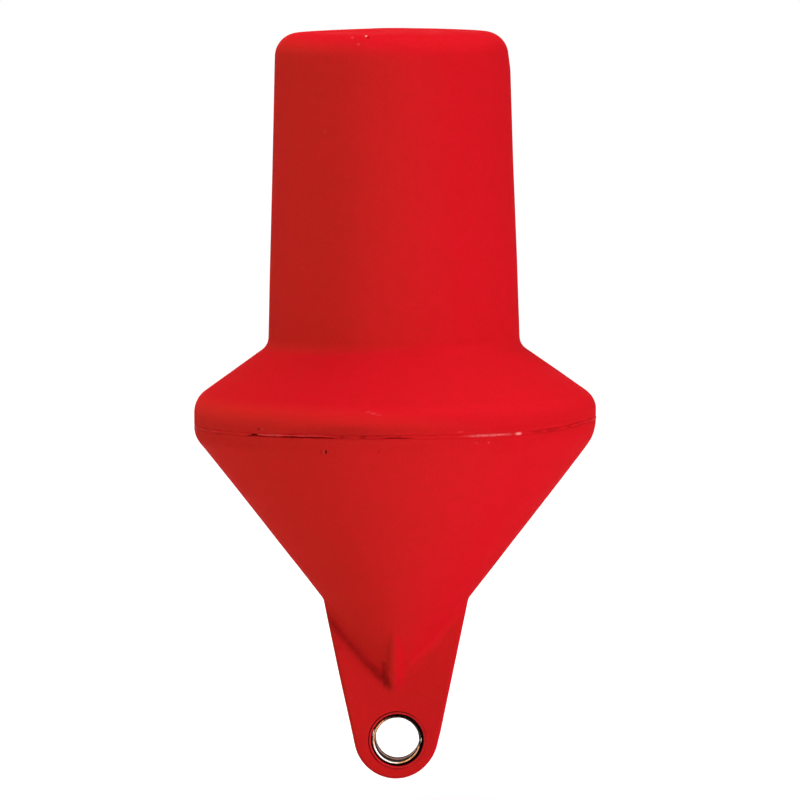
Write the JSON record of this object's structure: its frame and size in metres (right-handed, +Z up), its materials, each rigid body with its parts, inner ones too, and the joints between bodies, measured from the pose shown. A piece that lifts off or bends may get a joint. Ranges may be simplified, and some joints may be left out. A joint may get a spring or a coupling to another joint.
{
  "type": "can-shaped marker buoy",
  "caption": "Red moulded marker buoy: a drum on a wide float, over a cone that narrows to a flat mooring tongue with a steel-lined eye. Floats upright and marks a channel.",
  "frame": {"origin": "centre of the seam between the two shells, where the waterline lies", "axes": "+Z up the buoy's axis, from the mooring eye to the crown; Y along the mooring eye; X across the tongue's width"},
  "size_m": [0.4016, 0.4016, 0.7495],
  "materials": {
    "shell": "satin rotomoulded polyethylene, red through and through, slightly mottled",
    "weld": "melted and reset polyethylene bead, a little glossier than the shell",
    "bush": "zinc-plated steel with a yellow passivated tint, worn bright on the inside",
    "plug": "matt moulded polyethylene"
  },
  "bodies": {
    "root": {"upper_shell": "shell", "lower_shell": "shell", "seam_bead": "weld", "eye_bush": "bush", "filler_plug": "plug"}
  },
  "joints": []
}
